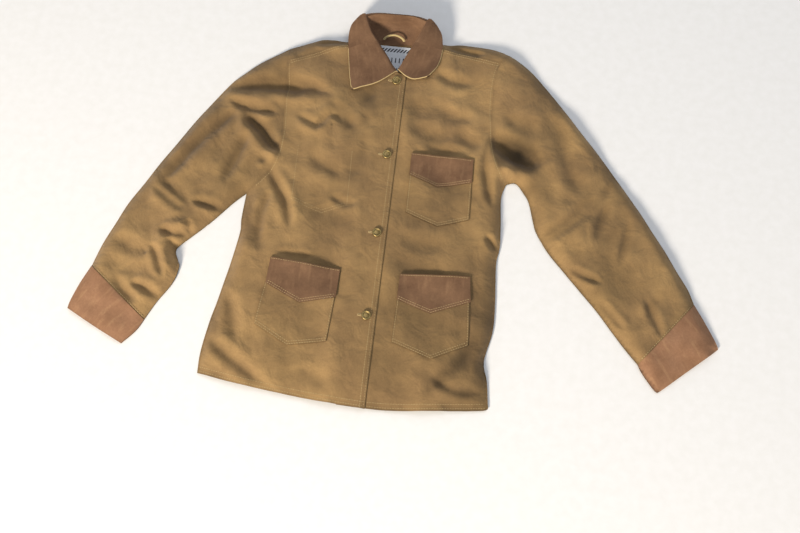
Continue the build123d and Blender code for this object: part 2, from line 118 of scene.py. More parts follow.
OUTLINES = [curve(line, 9) for line in (SIDE_R, SIDE_L, INNER_R, INNER_L, OUTER_R, OUTER_L, CUFF_OUTER_R,
                                        CUFF_OUTER_L, CUFF_INNER_R, CUFF_INNER_L, SHOULDER_R, SHOULDER_L)]
OPEN_ENDS = [curve(line, 12) for line in (HEM_R, HEM_L, WRIST_R, WRIST_L)]
BUTTONS = [(0, 626), (0, 470.5), (0, 315), (0, 159.5)]
# Drag folds and creases: (path, width, depth, ridge on the path's left, ridge on its right), in mm.
FOLDS = [
    ([(-345, 578), (-257, 593), (-165, 598), (-105, 580)], 17, 7.0, 1.5, 3.4),
    ([(-285, 549), (-318, 508), (-355, 463), (-415, 368)], 13, 4.6, 2.2, 1.4),
    ([(-318, 556), (-268, 541), (-212, 537)], 10, 4.4, 1.4, 2.6),
    ([(-287, 537), (-241, 496), (-196, 446)], 13, 8.0, 1.6, 4.6),
    ([(-266, 500), (-272, 473), (-287, 425), (-302, 378)], 12, 4.0, 1.8, 1.6),
    ([(-422, 378), (-380, 348), (-344, 327)], 15, 5.6, 1.2, 3.6),
    ([(-352, 344), (-320, 338), (-286, 334)], 9, 4.2, 1.2, 2.0),
    ([(-401, 283), (-367, 274), (-340, 284)], 9, 4.6, 2.0, 1.2),
    ([(-384, 262), (-366, 254), (-352, 222)], 9, 6.0, 2.5, 1.0),
    ([(-412, 251), (-396, 238), (-372, 189)], 8, 3.6, 1.4, 1.4),
    ([(-433, 177), (-404, 168), (-366, 150)], 9, 4.0, 1.4, 1.8),
    ([(-346, 308), (-343, 277)], 7, 3.0, 1.2, 1.2),
    ([(-219, 426), (-198, 394), (-172, 352), (-158, 300)], 10, 4.6, 2.2, 1.2),
    ([(-185, 540), (-160, 527), (-138, 519), (-115, 545), (-86, 524)], 9, 3.0, 1.2, 1.8),
    ([(-120, 575), (-95, 545), (-60, 520)], 12, 2.4, 1.2, 1.0),
    ([(-207, 380), (-216, 330), (-213, 276)], 9, 2.8, 1.2, 1.2),
    ([(-182, 262), (-150, 256), (-104, 258)], 8, 1.8, 0.8, 0.8),
    ([(-280, 96), (-217, 53), (-150, 17)], 12, 3.4, 1.4, 1.8),
    ([(-260, 190), (-236, 130), (-222, 80)], 12, 2.2, 1.2, 1.2),
    ([(-150, 470), (-120, 440), (-70, 425)], 14, 1.8, 0.8, 0.9),
    ([(-96, 384), (-64, 366), (-38, 372)], 8, 1.8, 0.6, 0.9),
    ([(184, 540), (222, 512), (262, 496), (300, 488)], 23, 10.5, 1.0, 4.8),
    ([(187, 520), (186, 470), (196, 420), (206, 385)], 10, 5.0, 1.8, 1.8),
    ([(212, 585), (240, 560), (290, 545)], 18, 2.6, 1.0, 1.0),
    ([(196, 336), (222, 308)], 8, 4.0, 1.6, 1.4),
    ([(202, 157), (172, 100), (109, 32)], 15, 3.6, 1.6, 1.4),
    ([(120, 70), (168, 46), (222, 50)], 9, 2.2, 1.0, 1.0),
    ([(374, 424), (345, 375), (296, 338)], 12, 5.0, 2.2, 1.4),
    ([(397, 342), (409, 407), (422, 480)], 10, 2.8, 1.2, 1.4),
    ([(441, 300), (450, 348), (459, 398)], 8, 2.2, 1.0, 1.0),
    ([(348, 291), (383, 277), (416, 268)], 7, 2.8, 1.2, 1.4),
    ([(404, 239), (432, 210), (459, 184)], 7, 2.2, 1.0, 1.2),
    ([(487, 254), (507, 213), (523, 174)], 8, 2.2, 1.0, 1.0),
    ([(60, 600), (110, 570), (165, 560)], 16, 2.4, 1.0, 1.2),
    ([(72, 660), (110, 640), (150, 645)], 12, 2.6, 1.2, 1.4),
    ([(34, 545), (70, 520), (112, 512)], 16, 2.0, 0.8, 1.0),
    ([(-60, 560), (-30, 530), (6, 520)], 12, 1.6, 0.6, 0.8),
    ([(40, 320), (90, 300), (150, 312)], 16, 1.6, 0.7, 0.8),
    ([(-110, 60), (-60, 40), (-10, 60)], 14, 1.5, 0.8, 0.8),
    ([(-170, 694), (-130, 703), (-98, 704)], 10, 4.6, 0.8, 1.0),
    ([(84, 719), (120, 712), (170, 706)], 9, 4.2, 0.8, 0.8),
    ([(-60, 610), (-20, 575), (6, 560)], 26, 2.4, 0.6, 1.0),
    ([(-20, 500), (-50, 460), (-60, 410)], 22, 1.8, 0.6, 0.9),
    ([(120, 545), (150, 520), (178, 512)], 16, 3.0, 0.8, 1.4),
    ([(60, 505), (100, 494), (160, 492)], 10, 1.6, 0.6, 0.6),
    ([(-240, 640), (-205, 610), (-180, 560)], 18, 2.4, 1.0, 1.2),
    ([(-250, 330), (-225, 300), (-200, 250)], 14, 2.4, 1.0, 1.0),
    ([(-480, 262), (-440, 240), (-400, 236)], 14, 2.4, 1.0, 1.4),
    ([(-462, 190), (-440, 160), (-405, 140)], 10, 2.0, 1.0, 1.0),
    ([(520, 262), (500, 225), (482, 190)], 12, 2.0, 1.0, 1.0),
    ([(330, 520), (345, 470), (372, 430)], 16, 2.6, 1.2, 1.2),
    ([(290, 600), (318, 555), (330, 500)], 18, 2.0, 1.0, 1.0),
]
# Small knots of gathered cloth, mostly under the arms: (x, y, radius, height).
KNOTS = [(-215, 446, 12, 7.0), (-232, 428, 8, 3.0), (-369, 289, 17, 3.5), (226, 464, 12, 9.0),
         (242, 454, 9, 5.0), (-45, 585, 30, -3.0), (45, 572, 26, -3.0), (246, 516, 24, -3.5),
         (-230, 437, 7, -3.0), (-352, 290, 12, 2.0), (96, 402, 26, 1.2), (-110, 420, 30, 1.4),
         (-30, 250, 26, 1.0)]
# Stiff duck stands up more than light cloth: every fold is half as deep again, with higher ridges.
STIFF, RIDGE = 1.5, 1.4
FOLDS = [(curve(path, 12), width, STIFF * depth, RIDGE * left, RIDGE * right)
         for path, width, depth, left, right in FOLDS]
# Low waves in all directions: (height, direction, rate, phase), from pairs of height and length in mm.
chance = np.random.RandomState(7)
WAVES = [(chance.uniform(0.5, 1.4) * size, chance.uniform(0, 2 * math.pi), 2 * math.pi / length,
          chance.uniform(0, 6.28))
         for size, length in ((1.9, 240), (1.7, 170), (1.3, 120), (0.9, 88), (0.55, 61), (0.3, 43),
                              (0.16, 31))]
# Where each sleeve is cut in two, across the upper arm.
CUT_R, CUT_L = curve([(-440, 381), (-315, 302)], 20), curve([(449, 456), (300, 337)], 20)
# Where the duck is soiled or faded, as soft patches: (x, y, radius, change of tone). Some patches are painted
# light and shade instead: the knots under the arms are painted lighter and the dents beside them darker, and
# broad patches such as the lighter one on the right forearm follow where more or less light falls.
SOIL_AND_PAINTED_LIGHT = [(150, 110, 130, -0.12), (120, 620, 90, 0.34), (-420, 210, 110, 0.30), (-350, 470, 90, -0.20),
        (110, 200, 80, -0.16), (-350, 345, 50, -0.14), (-40, 590, 70, -0.16), (45, 575, 50, -0.14),
        (330, 580, 80, 0.05), (480, 330, 130, -0.06), (-150, 170, 90, 0.08), (238, 508, 44, -0.34),
        (-225, 470, 40, -0.14), (190, 440, 40, -0.10), (-150, 620, 70, 0.12), (120, 350, 90, -0.12),
        (360, 380, 60, -0.10), (226, 466, 16, 0.34), (-232, 437, 9, -0.22), (-214, 450, 14, 0.28),
        (195, 80, 80, -0.30), (-90, 440, 90, 0.06), (500, 240, 70, 0.10), (-500, 150, 60, 0.10),
        (425, 255, 45, -0.14), (-395, 205, 30, -0.14), (252, 500, 26, -0.22)]


def relief(p):
    """How far the cloth's folds and waves stand above or below its even height, in mm."""
    p = np.asarray(p, float)
    # Between the placket's two layers, and where the sleeves' halves meet, the cloth lies level.
    calm = smooth((np.abs(p[:, 0] + 8) - 12) / 30)
    for x, y in BUTTONS:
        calm = calm * smooth((np.hypot(p[:, 0] - x, p[:, 1] - y) - 12) / 22)
    for line in (CUT_R, CUT_L):
        calm = calm * smooth(reach(p, line)[0] / 20)
    wave = np.zeros(len(p))
    for size, turn, rate, phase in WAVES:
        wave += size * np.sin(rate * (p[:, 0] * math.cos(turn) + p[:, 1] * math.sin(turn)) + phase)
    for path, width, depth, left, right in FOLDS:
        lo, hi = path.min(0) - 4 * width, path.max(0) + 4 * width
        near = np.where((p > lo).all(1) & (p < hi).all(1))[0]
        if not len(near):
            continue
        away, side, along = reach(p[near], path)
        taper = smooth(3.6 * along) * smooth(3.6 * (1 - along))
        away = away / (0.55 + 0.45 * taper)
        shape = -depth * np.exp(-(away / width * 1.25) ** 2)
        skew = 0.5 + 0.5 * side * smooth(away / width)
        ridge = (left * skew + right * (1 - skew)) * np.exp(-((away - 1.7 * width) / (0.9 * width)) ** 2)
        wave[near] += taper * (shape + ridge)
    for x, y, radius, height in KNOTS:
        wave += height * np.exp(-((p[:, 0] - x) ** 2 + (p[:, 1] - y) ** 2) / radius**2)
    return wave * calm


# The heights of the coat's upper side: over the body, at the outline's seam, and the lowest anywhere.
BODY, SEAM_HEIGHT, LOWEST = 20.2, 3.4, 3.2


def lift(p):
    """The height of the coat's upper side above the floor, in mm."""
    p = np.asarray(p, float)
    edge = np.min([reach(p, line)[0] for line in OUTLINES], axis=0)
    end = np.min([reach(p, line)[0] for line in OPEN_ENDS], axis=0)
    rounded = 1 - (1 - np.clip(edge / 30, 0, 1)) ** 2.4
    full = BODY - 2.4 * smooth((np.abs(p[:, 0] + 25) - 190) / 80)
    flat = 0.42 + 0.58 * (1 - (1 - np.clip(end / 85, 0, 1)) ** 2)
    # The hem and the wrists ripple a little where their stitching has drawn them in.
    ripple = 0.5 * np.exp(-end / 14) * np.sin(p[:, 0] / 5.3 + 2 * np.sin(p[:, 0] / 31))
    height = SEAM_HEIGHT + (full - SEAM_HEIGHT) * rounded * flat
    height = height + (relief(p) + ripple) * (0.25 + 0.75 * rounded)
    return np.maximum(height, LOWEST)


def lap(p):
    """How far the over front stands above the coat's own height, where it lies on the under front."""
    return 3.4 * smooth((p[:, 0] + 80) / 36) - 1.2 * smooth((p[:, 0] - 9.5) / 7)


def over_front(p):
    return lift(p) + lap(p)


def closed(*lines):
    """Lines that follow each other, as one closed outline."""
    return np.vstack([line[:-1] for line in lines])


def inside(p, loop):
    odd = np.zeros(len(p), bool)
    for a, b in zip(loop, np.roll(loop, -1, axis=0)):
        spans = (a[1] > p[:, 1]) != (b[1] > p[:, 1])
        with np.errstate(divide="ignore", invalid="ignore"):
            cross = (b[0] - a[0]) * (p[:, 1] - a[1]) / (b[1] - a[1]) + a[0]
        odd ^= spans & (p[:, 0] < cross)
    return odd


def fill(loop, step, turn):
    """The points and triangles of a panel, in rows along its grain."""
    c, s = math.cos(turn), math.sin(turn)
    spin = np.array([[c, -s], [s, c]])
    flat = loop @ spin
    lo, hi = flat.min(0), flat.max(0)
    rows = np.arange(lo[1] + step / 2, hi[1], step * 0.87)
    grid = []
    for k, y in enumerate(rows):
        x = np.arange(lo[0] + step / 2 * (k % 2), hi[0], step)
        grid.append(np.stack([x, np.full_like(x, y)], axis=1))
    grid = np.vstack(grid) @ spin.T
    grid = grid[inside(grid, loop)]
    grid = grid[reach(grid, np.vstack([loop, loop[:1]]))[0] > 0.55 * step]
    points = np.vstack([loop, grid])
    edges = [(k, (k + 1) % len(loop)) for k in range(len(loop))]
    made = delaunay_2d_cdt([Vector(p) for p in points], edges, [], 1, 1e-4, True)
    points = np.array([tuple(v) for v in made[0]])
    tris = np.array([tuple(f) for f in made[2]])
    one, two = points[tris[:, 1]] - points[tris[:, 0]], points[tris[:, 2]] - points[tris[:, 0]]
    area = np.abs(one[:, 0] * two[:, 1] - one[:, 1] * two[:, 0])
    tris = tris[(area > 0.002) & inside(points[tris].mean(axis=1), loop)]
    return points, [tuple(int(v) for v in t) for t in tris]


def mesh_piece(name, verts, faces, normals, uvs):
    """A mesh object in the row frame, from points in drawing mm, with its own smooth normals."""
    mesh = bpy.data.meshes.new(name)
    mesh.from_pydata(row(verts).tolist(), [], faces)
    mesh.polygons.foreach_set("use_smooth", [True] * len(mesh.polygons))
    layer = mesh.uv_layers.new(name="cloth")
    corner = np.zeros(len(mesh.loops), np.int32)
    mesh.loops.foreach_get("vertex_index", corner)
    layer.data.foreach_set("uv", (np.asarray(uvs, float) / 1000)[corner].ravel())
    if normals is not None:
        mesh.normals_split_custom_set_from_vertices(np.asarray(normals).tolist())
    made = bpy.data.objects.new(name + "_skin", mesh)
    bpy.context.scene.collection.objects.link(made)
    return made


def panel(name, loop, height, thick=1.6, step=4.5, turn=0.0, joined=None, upper=True):
    """A sheet of cloth cut to an outline and lying at a height, with its own thickness, thinned where it is
    joined to its other half."""
    points, tris = fill(loop, step, turn)
    z = height(points)
    nudge = 0.7
    slope_x = (height(points + (nudge, 0)) - height(points - (nudge, 0))) / (2 * nudge)
    slope_y = (height(points + (0, nudge)) - height(points - (0, nudge))) / (2 * nudge)
    normal = np.stack([-slope_x, -slope_y, np.ones(len(points))], axis=1)
    normal /= np.linalg.norm(normal, axis=1)[:, None]
    top = np.column_stack([points, z])
    sunk = np.column_stack([points, z - thick / np.maximum(normal[:, 2], 0.55)])
    sunk[:, 2] = np.maximum(sunk[:, 2], 0.2)
    if joined is not None:
        at_join = reach(points, joined)[0] < 0.05
        sunk[at_join] = top[at_join] - (0, 0, 0.02)
    count = len(points)
    cross = [(points[b] - points[a])[0] * (points[c] - points[a])[1] - (points[b] - points[a])[1]
             * (points[c] - points[a])[0] for a, b, c in tris]
    tris = [t if turning > 0 else t[::-1] for t, turning in zip(tris, cross)]
    faces = tris + [(c + count, b + count, a + count) for a, b, c in tris]
    uses = {}
    for t in tris:
        for a, b in zip(t, t[1:] + t[:1]):
            uses[(a, b)] = True
    faces += [(b, a, a + count, b + count) for a, b in uses if (b, a) not in uses]
    c, s = math.cos(turn), math.sin(turn)
    uvs = points @ np.array([[c, -s], [s, c]])
    both = np.vstack([top, sunk])
    made = mesh_piece(name, both, faces, np.vstack([normal, -normal]), np.vstack([uvs, uvs]))
    # Painted shade darkens the hollows and dents of the folds and painted light lightens their ridges and
    # knots, on the upper layers only; the patches below add soil and fading with more painted light and
    # shade, and every sewn edge is a little darker.
    painted_light_and_soil = np.clip(0.050 * relief(points), -0.30, 0.15) if upper else np.zeros(count)
    for x, y, radius, change in SOIL_AND_PAINTED_LIGHT:
        painted_light_and_soil += change * np.exp(-((points[:, 0] - x) ** 2 + (points[:, 1] - y) ** 2) / radius**2)
    rim = reach(points, np.vstack([loop, loop[:1]]))[0]
    if joined is not None:
        rim = np.where(reach(points, joined)[0] < 12, 50, rim)
    painted_light_and_soil -= 0.16 * np.exp(-((rim / 3.5) ** 2))
    tone = made.data.attributes.new("painted_light_and_soil", "FLOAT", "POINT")
    tone.data.foreach_set("value", np.tile(painted_light_and_soil, 2).astype(np.float32))
    return made


def colour(text):
    """An sRGB colour as linear values."""
    parts = [int(text[k:k + 2], 16) / 255 for k in (1, 3, 5)]
    return [c / 12.92 if c <= 0.04045 else ((c + 0.055) / 1.055) ** 2.4 for c in parts] + [1.0]


def add(tree, kind, settings=(), *numbered, out=0, **named):
    """A node with its settings and its inputs, linked or set, as one of its outputs. A ramp has stops."""
    node = tree.nodes.new("ShaderNode" + kind)
    for key, value in dict(settings).items():
        if key == "stops":
            elements = node.color_ramp.elements
            for element, (place, tone) in zip(elements, value):
                element.position, element.color = place, tone
        else:
            setattr(node, key, value)
    for key, value in [*enumerate(numbered), *named.items()]:
        socket = node.inputs[key.replace("_", " ") if isinstance(key, str) else key]
        if isinstance(value, bpy.types.NodeSocket):
            tree.links.new(value, socket)
        elif value is not None:
            socket.default_value = value
    return node.outputs[out] if node.outputs else node


def new_material(name):
    made = bpy.data.materials.new(name)
    made.use_nodes = True
    made.node_tree.nodes.clear()
    return made, made.node_tree


def blended(tree, kind, share, one, two):
    """Two tones laid on each other, as Blender names the way."""
    unused = [None] * 5
    return add(tree, "Mix", {"data_type": "RGBA", "blend_type": kind}, share, *unused, one, two, out=2)


def mottled(tree, share, tone, pattern, low, dark, high, pale):
    """A tone multiplied by two greys that follow a pattern."""
    greys = add(tree, "ValToRGB", {"stops": [(low, (*dark, 1)), (high, (*pale, 1))]}, pattern)
    return blended(tree, "MULTIPLY", share, tone, greys)


def relieved(tree, *layers):
    """The normal of bumps laid on each other: (height, strength, depth in m)."""
    made = None
    for height, strength, depth in layers:
        made = add(tree, "Bump", Height=height, Strength=strength, Distance=depth, Normal=made)
    return made


def surfaced(tree, settings=(), **inputs):
    """The shader and the output, with the settings that take no link."""
    shader = add(tree, "BsdfPrincipled", **inputs)
    for key, value in dict(settings).items():
        shader.node.inputs[key].default_value = value
    add(tree, "OutputMaterial", Surface=shader)


# Cotton duck, a plain weave of 0.9 mm threads, golden tan, its colour scaled by each panel's tone attribute:
# painted light on the folds' ridges and knots, painted shade in their hollows, and darker soiled patches.
def canvas_material(name, light, dark):
    made, tree = new_material(name)
    uv = add(tree, "UVMap", {"uv_map": "cloth"})
    broad = add(tree, "TexNoise", Vector=uv, Scale=7.0, Detail=5.0, Roughness=0.55)
    mottle = add(tree, "TexNoise", Vector=uv, Scale=38.0, Detail=6.0, Roughness=0.62)
    fleck = add(tree, "TexNoise", Vector=uv, Scale=420.0, Detail=3.0)
    warp, weft = [add(tree, "TexWave", {"wave_type": "BANDS", "bands_direction": way}, out="Fac", Vector=uv,
                      Scale=350.0, Distortion=1.4, Detail=2.0, Detail_Scale=3.0) for way in "XY"]
    weave = add(tree, "Math", {"operation": "MULTIPLY"}, warp, weft)
    tone = add(tree, "ValToRGB", {"stops": [(0.30, colour(dark)), (0.68, colour(light))]}, broad)
    tone = mottled(tree, 0.55, tone, mottle, 0.28, (0.72, 0.70, 0.66), 0.62, (1.06, 1.05, 1.03))
    tone = mottled(tree, 0.30, tone, fleck, 0.34, (0.7, 0.68, 0.64), 0.6, (1.05, 1.05, 1.05))
    tone = mottled(tree, 0.22, tone, weave, 0.0, (0.66, 0.63, 0.58), 0.5, (1.04, 1.04, 1.04))
    pile = add(tree, "Math", {"operation": "MULTIPLY_ADD"}, weave, 0.6, fleck)
    # The panels' tone attribute holds painted shade in the folds' hollows and painted light on their ridges
    # and knots, as well as soiled and faded patches and darker sewn edges; it scales the colour.
    worn = add(tree, "Attribute", {"attribute_name": "painted_light_and_soil"}, out="Fac")
    factor = add(tree, "Math", {"operation": "ADD"}, worn, 1.0)
    tone = add(tree, "VectorMath", {"operation": "SCALE"}, tone, Scale=factor)
    # Shallow crumples that stay in stiff duck once it has been folded.
    crumple = add(tree, "TexNoise", Vector=uv, Scale=24.0, Detail=3.0, Roughness=0.5, Distortion=0.5)
    bump = relieved(tree, (pile, 0.32, 0.0005), (crumple, 0.5, 0.010), (mottle, 0.35, 0.0016))
    surfaced(tree, {"Specular IOR Level": 0.25, "Sheen Weight": 0.12, "Sheen Roughness": 0.6},
             Base_Color=tone, Roughness=add(tree, "MapRange", Value=mottle, To_Min=0.80, To_Max=0.94),
             Normal=bump)
    return made


canvas = canvas_material("cotton_duck", "#a28355", "#836845")


def finish_with(piece, material):
    piece.data.materials.clear()
    piece.data.materials.append(material)


def lay_duck(piece):
    """The piece is of duck."""
    finish_with(piece, canvas)


def bend(piece, one, two, begin, end):
    """The piece, with its placement baked into its mesh; the bodies and the two drawing points are not used.
    """
    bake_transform(piece)


# The line that each front opens about, from hem to neck.
FOLD_R = np.array([(-280.0, 26.0), (-100.0, 707.0)])
FOLD_L = np.array([(229.0, 26.0), (79.0, 705.0)])


def bend_front(piece, side):
    """The piece on a front, with its placement baked into its mesh; the points beside the front's fold line
    that it works out are not used.
    """
    line = FOLD_R if side == "right" else FOLD_L
    along = (line[1] - line[0]) / np.linalg.norm(line[1] - line[0])
    inward = np.array([along[1], -along[0]]) * (1 if side == "right" else -1)
    foot = line.mean(0)
    bend(piece, "torso", f"{side}_front", (*foot, 20), (*(foot + inward * 42), 20))


ARMHOLE_R = curve([(-217, 684), (-216, 650), (-211, 606), (-206, 542), (-202, 490), (-207, 438),
                   (-226, 401), (-253, 372)])
SEAM_R = curve([(-216, 650), (-174, 668), (-128, 690), (-109, 696), (-86, 706)])
cap_split = int(np.argmin(np.linalg.norm(ARMHOLE_R - (-216, 650), axis=1)))
SEAM_R[0] = ARMHOLE_R[cap_split]
NECK_R = curve([(17, 641), (2, 643), (-18, 656), (-42, 683), (-62, 706), (-72, 716), (-86, 706)])
placket = curve([(17, -2), (17, 200), (17, 420), (17, 641)])
right_loop = closed(curve(HEM_R), placket, NECK_R, SEAM_R[::-1], ARMHOLE_R[cap_split:], curve(SIDE_R)[::-1])
right_front = panel("right_front", right_loop, over_front)
lay_duck(right_front)
bend_front(right_front, "right")
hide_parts("right_front", "right_side_front")

# ---- Left front, the under front ----
# The same duck, from the other side seam to its own edge, 33 mm past the buttons' line under the over
# front.
ARMHOLE_L = curve([(214, 717), (204, 702), (191, 670), (187, 619), (190, 566), (197, 515), (208, 472),
                   (228, 444)])
SEAM_L = curve([(199, 690), (132, 703), (100, 706), (66, 712)])
cap_split_l = int(np.argmin(np.linalg.norm(ARMHOLE_L - (199, 690), axis=1)))
SEAM_L[0] = ARMHOLE_L[cap_split_l]
NECK_L = curve([(-33, 640), (0, 648), (16, 668), (32, 694), (48, 712), (66, 712)])
under_edge = curve([(-33, 0), (-33, 200), (-33, 420), (-33, 640)])
left_loop = closed(curve(HEM_L), curve(SIDE_L), ARMHOLE_L[cap_split_l:][::-1], SEAM_L, NECK_L[::-1],
                   under_edge[::-1])
left_front = panel("left_front", left_loop, lift)
lay_duck(left_front)
bend_front(left_front, "left")
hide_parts("left_front", "left_side_front")

# ---- Shoulders ----
# The strip of each back panel that rolls over the top of the shoulder, behind the shoulder seam.
for side, seam, ridge, start, turn in (("right", SEAM_R, curve(SHOULDER_R), ARMHOLE_R[:cap_split + 1], 26),
                                       ("left", SEAM_L, curve(SHOULDER_L), ARMHOLE_L[:cap_split_l + 1], -4)):
    loop, turn = closed(seam, curve([seam[-1], ridge[0]]), ridge, start), math.radians(turn)
    shoulder = panel(f"{side}_shoulder", loop, lambda p: lift(p) - 0.3, turn=turn)
    lay_duck(shoulder)
    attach(shoulder, "torso")
    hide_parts(f"{side}_shoulder")

# ---- Back panel ----
# One piece of duck, flat on the floor, with its hem a little inside the fronts' hem.
back_hem = curve([(-281, 32), (-228, 25), (-159, 17), (-74, 9), (17, 4), (73, 6), (146, 14), (217, 23),
                  (227, 27)])
back_neck = curve([(70, 728), (46, 723), (18, 721), (-13, 716), (-43, 718), (-66, 722), (-84, 722)])
side_l = curve([(227, 27)] + SIDE_L[1:])
side_r = curve([(-281, 32)] + SIDE_R[1:])
back_loop = closed(back_hem, side_l, ARMHOLE_L[::-1], curve(SHOULDER_L)[::-1], back_neck, curve(SHOULDER_R),
                   ARMHOLE_R, side_r[::-1])


def floor_height(p):
    """The under layers lie on the floor, and turn up a little where they are sewn to the upper ones."""
    edge = np.min([reach(p, line)[0] for line in OUTLINES], axis=0)
    return 1.9 + 1.4 * np.exp(-((edge / 5) ** 2))


back = panel("back_panel", back_loop, floor_height, step=9, upper=False)
lay_duck(back)
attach(back, "torso")
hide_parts("back_panel")

# ---- Sleeves ----
# Each sleeve is a tube of duck laid flat, an upper and an under layer, with a drag fold under the arm.
# It is cut at the middle of the upper arm.
SLEEVES = {
    "right": dict(outer=OUTER_R, inner=INNER_R, armhole=ARMHOLE_R, cut=((-315, 302), (-440, 381)), turn=-31.3,
                  pivot=(-336, 402), swing=(-0.8, -0.6), zone=(-45, 42), elbow=(-414.4, 273),
                  axis=(-0.52, -0.854)),
    "left": dict(outer=OUTER_L, inner=INNER_L, armhole=ARMHOLE_L, cut=((300, 337), (449, 456)), turn=36.0,
                 pivot=(329, 471), swing=(0.8, -0.6), zone=(-50, 50), elbow=(423.6, 333.4),
                 axis=(0.566, -0.824)),
}


def part_at(line, point):
    """A line in two at the place nearest a point."""
    k = int(np.argmin(np.linalg.norm(line - point, axis=1)))
    return line[:k + 1], line[k:]


for side, s in SLEEVES.items():
    outer_top, outer_low = part_at(curve(s["outer"]), s["cut"][1])
    inner_top, inner_low = part_at(curve(s["inner"]), s["cut"][0])
    across = curve([outer_top[-1], inner_top[-1]])
    seam = curve([s["outer"][-1], s["inner"][-1]])
    upper_loop = closed(outer_top, across, inner_top[::-1], s["armhole"][::-1])
    lower_loop = closed(outer_low, seam, inner_low[::-1], across[::-1])
    turn = math.radians(s["turn"])
    pivot, swing = np.array(s["pivot"], float), np.array(s["swing"])
    elbow, axis = np.array(s["elbow"]), np.array(s["axis"])
    for layer, height, step in (("", lambda p: lift(p) - 0.2, 4.5), ("_under", floor_height, 8.0)):
        upper, lower = [panel(f"{side}_{half}_sleeve{layer}", loop, height, step=step, turn=turn,
                              joined=across, upper=not layer)
                        for half, loop in (("upper", upper_loop), ("lower", lower_loop))]
        lay_duck(upper)
        lay_duck(lower)
        begin, end = s["zone"]
        bend(upper, "torso", f"{side}_upper_arm", (*(pivot + swing * begin), 9), (*(pivot + swing * end), 9))
        bend(lower, f"{side}_upper_arm", f"{side}_forearm",
             (*(elbow - axis * 36), 9), (*(elbow + axis * 36), 9))
        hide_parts(f"{side}_sleeve_cap{layer}", f"{side}_upper_sleeve{layer}")
        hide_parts(f"{side}_lower_sleeve{layer}")

# ---- Cuffs ----
# Napped leather, doubled at the wrist, sewn over the sleeve's end, which opens at the wrist. The leather is
# brown with a pink cast, rubbed darker and smoother in patches.
def suede_material(name, light, dark, worn):
    made, tree = new_material(name)
    uv = add(tree, "UVMap", {"uv_map": "cloth"})
    broad = add(tree, "TexNoise", Vector=uv, Scale=22.0, Detail=6.0, Roughness=0.6)
    nap = add(tree, "TexNoise", Vector=uv, Scale=260.0, Detail=6.0, Roughness=0.7)
    pore = add(tree, "TexVoronoi", Vector=uv, Scale=620.0)
    brushed = add(tree, "Mapping", Vector=uv, Scale=(60, 14, 1))
    streak = add(tree, "TexNoise", Vector=brushed, Scale=2.0, Detail=5.0)
    tone = add(tree, "ValToRGB", {"stops": [(0.32, colour(dark)), (0.66, colour(light))]}, broad)
    rubbed = add(tree, "MapRange", Value=streak, From_Min=0.52, From_Max=0.72, To_Max=0.55)
    tone = blended(tree, "MIX", rubbed, tone, colour(worn))
    tone = mottled(tree, 0.45, tone, nap, 0.3, (0.68, 0.66, 0.65), 0.65, (1.08, 1.07, 1.06))
    bump = relieved(tree, (nap, 0.5, 0.0006), (pore, 0.12, 0.0003), (broad, 0.3, 0.002))
    surfaced(tree, {"Specular IOR Level": 0.3, "Sheen Weight": 0.35, "Sheen Roughness": 0.45,
                    "Sheen Tint": colour("#c79a7c")}, Base_Color=tone, Normal=bump,
             Roughness=add(tree, "MapRange", Value=streak, To_Min=0.72, To_Max=0.95))
    return made


suede = suede_material("napped_leather", "#a0785a", "#8a6549", "#b08a66")
# The same leather in darker tones, on the collar and the pocket bands.
suede_dark = suede_material("darker_leather", "#7f6046", "#644934", "#8b6c50")
CUFFS = {"right": (CUFF_OUTER_R, WRIST_R, CUFF_INNER_R, OUTER_R, INNER_R, -37.7,
                   (-452, 155.9), (-0.41, -0.91)),
         "left": (CUFF_OUTER_L, WRIST_L, CUFF_INNER_L, OUTER_L, INNER_L, 39.0,
                  (532.2, 189.8), (0.56, -0.83))}
for side, (outer, wrist, inner, sleeve_out, sleeve_in, turn, middle, axis) in CUFFS.items():
    seam = curve([sleeve_in[-1], sleeve_out[-1]])
    loop = closed(curve(outer), curve(wrist), curve(inner)[::-1], seam)
    turn, middle, axis = math.radians(turn), np.array(middle), np.array(axis)
    for layer, height in (("upper", lambda p: lift(p) + 0.9), ("under", lambda p: floor_height(p) + 0.2)):
        cuff = panel(f"{side}_cuff_{layer}", loop, height, thick=2.2, step=4.5, turn=turn)
        finish_with(cuff, suede)
        bend(cuff, f"{side}_forearm", f"{side}_cuff", (*middle, 9), (*(middle + axis * 16), 9))
        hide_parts(f"{side}_cuff")

# ---- Facings ----
# The inside strip behind each front's edge, seen when the fronts are open.
for side, x0, x1, height, y1 in (("right", -46, 15, lambda p: over_front(p) - 1.75, 638),
                                 ("left", -31, 30, lambda p: lift(p) - 1.75, 640)):
    corners = [(x0, 6), (x1, 6), (x1, y1), (x0, y1)]
    loop = closed(*[curve(ends) for ends in zip(corners, corners[1:] + corners[:1])])
    facing = panel(f"{side}_facing", loop, height, thick=1.2, step=7)
    lay_duck(facing)
    bend_front(facing, side)
    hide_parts(f"{side}_facing")

# ---- Patch pockets ----
# Duck patches with a pointed foot, their edges turned under and sewn down, and their mouths standing a
# little open. The inner pocket hangs behind the over front.
POCKETS = {
    "right_hip_pocket": dict(side="right",
                             corners=[(-184, 247), (-195, 123), (-133, 92), (-64, 105), (-57, 238)],
                             band=[(-186, 199), (-122, 171), (-58, 186)], base=over_front),
    "left_hip_pocket": dict(side="left", corners=[(51, 243), (49, 118), (120, 94), (184, 126), (176, 250)],
                            band=[(50, 196), (112, 176), (181, 204)], base=lift),
    "chest_pocket": dict(side="left", corners=[(46, 479), (47, 362), (108, 340), (164, 358), (162, 477)],
                         band=[(46, 436), (100, 418), (163, 432)], base=lift),
}


def straight(points, step=5.0):
    """Straight runs between points, as one open line."""
    runs = [curve([a, b], step)[:-1] for a, b in zip(points[:-1], points[1:])]
    return np.vstack(runs + [np.array(points[-1:], float)])


